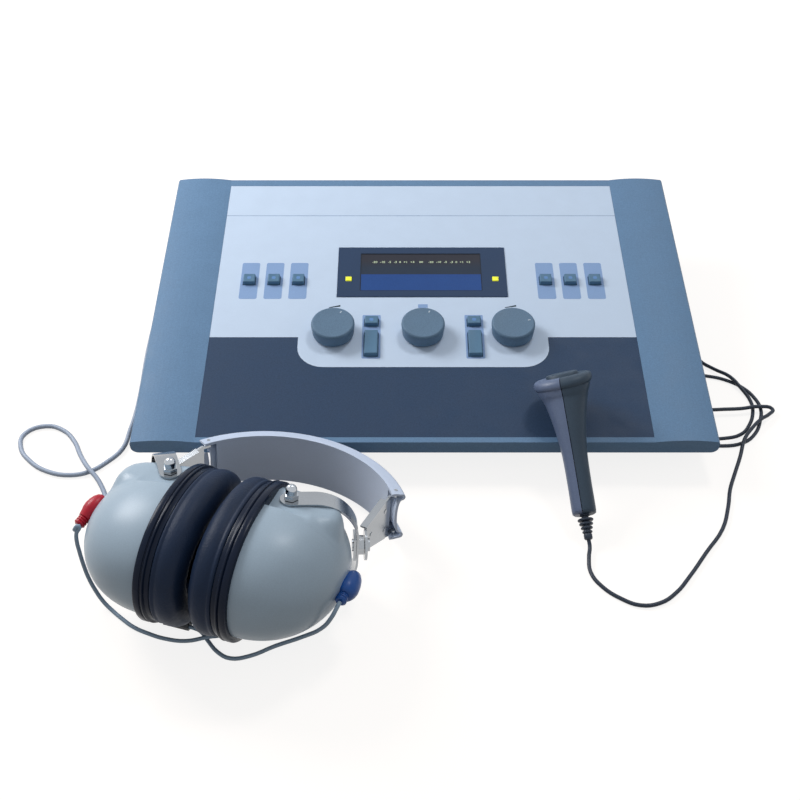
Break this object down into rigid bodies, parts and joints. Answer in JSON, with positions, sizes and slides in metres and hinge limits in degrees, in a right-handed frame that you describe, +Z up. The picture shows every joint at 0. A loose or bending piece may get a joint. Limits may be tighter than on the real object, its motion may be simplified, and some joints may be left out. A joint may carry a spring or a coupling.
{
  "type": "audiometer",
  "caption": "Desktop audiometer: sloping console with knobs, keys and display, a noise-excluding headset and a patient response handle on cords.",
  "frame": {"origin": "middle of the footprint of the console, headset and handle, on the table", "axes": "+X to the operator's right, +Y from the operator to the console's rear, +Z up"},
  "size_m": [0.4872, 0.4572, 0.0778],
  "materials": {
    "top_cover": "fine satin texture",
    "base_tray": "satin",
    "rear_panel": "satin",
    "upper_overlay": "matte film",
    "lower_overlay": "matte film",
    "display_window": "smooth",
    "lcd_module": "smooth",
    "indicator_lights": "lit",
    "main_board": "satin",
    "rotary_encoders": "matte",
    "key_switches": "matte",
    "power_supply": "matte",
    "rear_sockets": "matte",
    "rubber_feet": "matte",
    "case_screws": "zinc",
    "jack_plugs": "matte",
    "headset_lead": "satin",
    "headset_lead_coil": "satin",
    "response_cord": "satin",
    "response_cord_coil": "satin",
    "left_level_knob": "soft matte",
    "frequency_knob": "soft matte",
    "right_level_knob": "soft matte",
    "function_key_1": "matte",
    "function_key_2": "matte",
    "function_key_3": "matte",
    "function_key_4": "matte",
    "function_key_5": "matte",
    "function_key_6": "matte",
    "left_small_key": "matte",
    "right_small_key": "matte",
    "left_presenter_bar": "matte",
    "right_presenter_bar": "matte",
    "power_rocker": "smooth",
    "headband": "satin",
    "lead_splitter": "matte",
    "red_cup_cord": "satin",
    "blue_cup_cord": "satin",
    "red_side_bracket": "bright zinc",
    "red_side_fork": "bright",
    "red_cup_shell": "satin",
    "red_cup_ring": "gloss",
    "red_cup_cushion": "soft",
    "red_cup_earphone": "matte",
    "red_entry_cap": "smooth",
    "red_pivot_nuts": "bright",
    "blue_side_bracket": "bright zinc",
    "blue_side_fork": "bright",
    "blue_cup_shell": "satin",
    "blue_cup_ring": "gloss",
    "blue_cup_cushion": "soft",
    "blue_cup_earphone": "matte",
    "blue_entry_cap": "smooth",
    "blue_pivot_nuts": "bright",
    "handle_left_shell": "satin",
    "handle_right_shell": "satin",
    "response_switch": "matte",
    "handle_strain_relief": "matte",
    "response_button": "satin"
  },
  "bodies": {
    "console": {"top_cover": "top_cover", "base_tray": "base_tray", "rear_panel": "rear_panel", "upper_overlay": "upper_overlay", "lower_overlay": "lower_overlay", "display_window": "display_window", "lcd_module": "lcd_module", "indicator_lights": "indicator_lights", "main_board": "main_board", "rotary_encoders": "rotary_encoders", "key_switches": "key_switches", "power_supply": "power_supply", "rear_sockets": "rear_sockets", "rubber_feet": "rubber_feet", "case_screws": "case_screws", "jack_plugs": "jack_plugs", "headset_lead": "headset_lead", "headset_lead_coil": "headset_lead_coil", "response_cord": "response_cord", "response_cord_coil": "response_cord_coil"},
    "left_level_knob": {"left_level_knob": "left_level_knob"},
    "frequency_knob": {"frequency_knob": "frequency_knob"},
    "right_level_knob": {"right_level_knob": "right_level_knob"},
    "function_key_1": {"function_key_1": "function_key_1"},
    "function_key_2": {"function_key_2": "function_key_2"},
    "function_key_3": {"function_key_3": "function_key_3"},
    "function_key_4": {"function_key_4": "function_key_4"},
    "function_key_5": {"function_key_5": "function_key_5"},
    "function_key_6": {"function_key_6": "function_key_6"},
    "left_small_key": {"left_small_key": "left_small_key"},
    "right_small_key": {"right_small_key": "right_small_key"},
    "left_presenter_bar": {"left_presenter_bar": "left_presenter_bar"},
    "right_presenter_bar": {"right_presenter_bar": "right_presenter_bar"},
    "power_rocker": {"power_rocker": "power_rocker"},
    "headset_frame": {"headband": "headband", "lead_splitter": "lead_splitter", "red_cup_cord": "red_cup_cord", "blue_cup_cord": "blue_cup_cord"},
    "red_bracket": {"red_side_bracket": "red_side_bracket"},
    "red_fork": {"red_side_fork": "red_side_fork"},
    "red_cup": {"red_cup_shell": "red_cup_shell", "red_cup_ring": "red_cup_ring", "red_cup_cushion": "red_cup_cushion", "red_cup_earphone": "red_cup_earphone", "red_entry_cap": "red_entry_cap", "red_pivot_nuts": "red_pivot_nuts"},
    "blue_bracket": {"blue_side_bracket": "blue_side_bracket"},
    "blue_fork": {"blue_side_fork": "blue_side_fork"},
    "blue_cup": {"blue_cup_shell": "blue_cup_shell", "blue_cup_ring": "blue_cup_ring", "blue_cup_cushion": "blue_cup_cushion", "blue_cup_earphone": "blue_cup_earphone", "blue_entry_cap": "blue_entry_cap", "blue_pivot_nuts": "blue_pivot_nuts"},
    "response_handle": {"handle_left_shell": "handle_left_shell", "handle_right_shell": "handle_right_shell", "response_switch": "response_switch", "handle_strain_relief": "handle_strain_relief"},
    "response_button": {"response_button": "response_button"}
  },
  "joints": [
    {"name": "left_level_turn", "type": "hinge", "parent": "console", "child": "left_level_knob", "pos_m": [-0.0525, 0.0434, 0.04221], "axis": [0, -0.1219, 0.9925], "continuous": true},
    {"name": "frequency_turn", "type": "hinge", "parent": "console", "child": "frequency_knob", "pos_m": [0.0065, 0.0434, 0.04221], "axis": [0, -0.1219, 0.9925], "continuous": true},
    {"name": "right_level_turn", "type": "hinge", "parent": "console", "child": "right_level_knob", "pos_m": [0.0655, 0.0434, 0.04221], "axis": [0, -0.1219, 0.9925], "continuous": true},
    {"name": "function_key_1_press", "type": "slide", "parent": "console", "child": "function_key_1", "axis": [0, 0.1219, -0.9925], "range_m": [0, 0.001], "stiffness_N_per_m": 600, "springref_m": -0.0005},
    {"name": "function_key_2_press", "type": "slide", "parent": "console", "child": "function_key_2", "axis": [0, 0.1219, -0.9925], "range_m": [0, 0.001], "stiffness_N_per_m": 600, "springref_m": -0.0005},
    {"name": "function_key_3_press", "type": "slide", "parent": "console", "child": "function_key_3", "axis": [0, 0.1219, -0.9925], "range_m": [0, 0.001], "stiffness_N_per_m": 600, "springref_m": -0.0005},
    {"name": "function_key_4_press", "type": "slide", "parent": "console", "child": "function_key_4", "axis": [0, 0.1219, -0.9925], "range_m": [0, 0.001], "stiffness_N_per_m": 600, "springref_m": -0.0005},
    {"name": "function_key_5_press", "type": "slide", "parent": "console", "child": "function_key_5", "axis": [0, 0.1219, -0.9925], "range_m": [0, 0.001], "stiffness_N_per_m": 600, "springref_m": -0.0005},
    {"name": "function_key_6_press", "type": "slide", "parent": "console", "child": "function_key_6", "axis": [0, 0.1219, -0.9925], "range_m": [0, 0.001], "stiffness_N_per_m": 600, "springref_m": -0.0005},
    {"name": "left_small_key_press", "type": "slide", "parent": "console", "child": "left_small_key", "axis": [0, 0.1219, -0.9925], "range_m": [0, 0.001], "stiffness_N_per_m": 600, "springref_m": -0.0005},
    {"name": "right_small_key_press", "type": "slide", "parent": "console", "child": "right_small_key", "axis": [0, 0.1219, -0.9925], "range_m": [0, 0.001], "stiffness_N_per_m": 600, "springref_m": -0.0005},
    {"name": "left_presenter_bar_press", "type": "slide", "parent": "console", "child": "left_presenter_bar", "axis": [0, 0.1219, -0.9925], "range_m": [0, 0.001], "stiffness_N_per_m": 600, "springref_m": -0.0005},
    {"name": "right_presenter_bar_press", "type": "slide", "parent": "console", "child": "right_presenter_bar", "axis": [0, 0.1219, -0.9925], "range_m": [0, 0.001], "stiffness_N_per_m": 600, "springref_m": -0.0005},
    {"name": "power_rocker_tilt", "type": "hinge", "parent": "console", "child": "power_rocker", "pos_m": [0.0265, 0.1954, 0.024], "axis": [1, 0, 0], "range_deg": [0, 12]},
    {"name": "headset_lift", "type": "slide", "parent": "console", "child": "headset_frame", "axis": [0, 0, 1], "range_m": [0, 0.12], "deforming": ["headset_lead"]},
    {"name": "red_side_swing", "type": "hinge", "parent": "headset_frame", "child": "red_bracket", "pos_m": [-0.12329, -0.06144, 0.02288], "axis": [0.059, 0.1993, 0.9781], "range_deg": [-22, 0], "deforming": ["red_cup_cord"]},
    {"name": "red_fork_swivel", "type": "hinge", "parent": "red_bracket", "child": "red_fork", "pos_m": [-0.14866, -0.07975, 0.02814], "axis": [-0.3141, 0.9338, -0.1713], "range_deg": [-6, 6]},
    {"name": "red_cup_tilt", "type": "hinge", "parent": "red_fork", "child": "red_cup", "pos_m": [-0.13578, -0.11804, 0.03517], "axis": [0.059, 0.1993, 0.9781], "range_deg": [0, 22]},
    {"name": "blue_side_swing", "type": "hinge", "parent": "headset_frame", "child": "blue_bracket", "pos_m": [-0.01185, -0.104, 0.02482], "axis": [0.059, 0.1993, 0.9781], "range_deg": [0, 22], "deforming": ["blue_cup_cord"]},
    {"name": "blue_fork_swivel", "type": "hinge", "parent": "blue_bracket", "child": "blue_fork", "pos_m": [-0.02776, -0.13437, 0.03197], "axis": [0.9931, 0.088, -0.0779], "range_deg": [-6, 6]},
    {"name": "blue_cup_tilt", "type": "hinge", "parent": "blue_fork", "child": "blue_cup", "pos_m": [-0.06847, -0.13797, 0.03517], "axis": [0.059, 0.1993, 0.9781], "range_deg": [-22, 0]},
    {"name": "handle_lift", "type": "slide", "parent": "console", "child": "response_handle", "axis": [0, 0, 1], "range_m": [0, 0.12], "deforming": ["response_cord"]},
    {"name": "response_button_press", "type": "slide", "parent": "response_handle", "child": "response_button", "axis": [0.106, -0.879, -0.465], "range_m": [0, 0.002], "stiffness_N_per_m": 600, "springref_m": -0.0005}
  ],
  "couplings": [
    {"joint": "red_cup_tilt", "follows": "red_side_swing", "ratio": -1},
    {"joint": "blue_cup_tilt", "follows": "blue_side_swing", "ratio": -1}
  ]
}
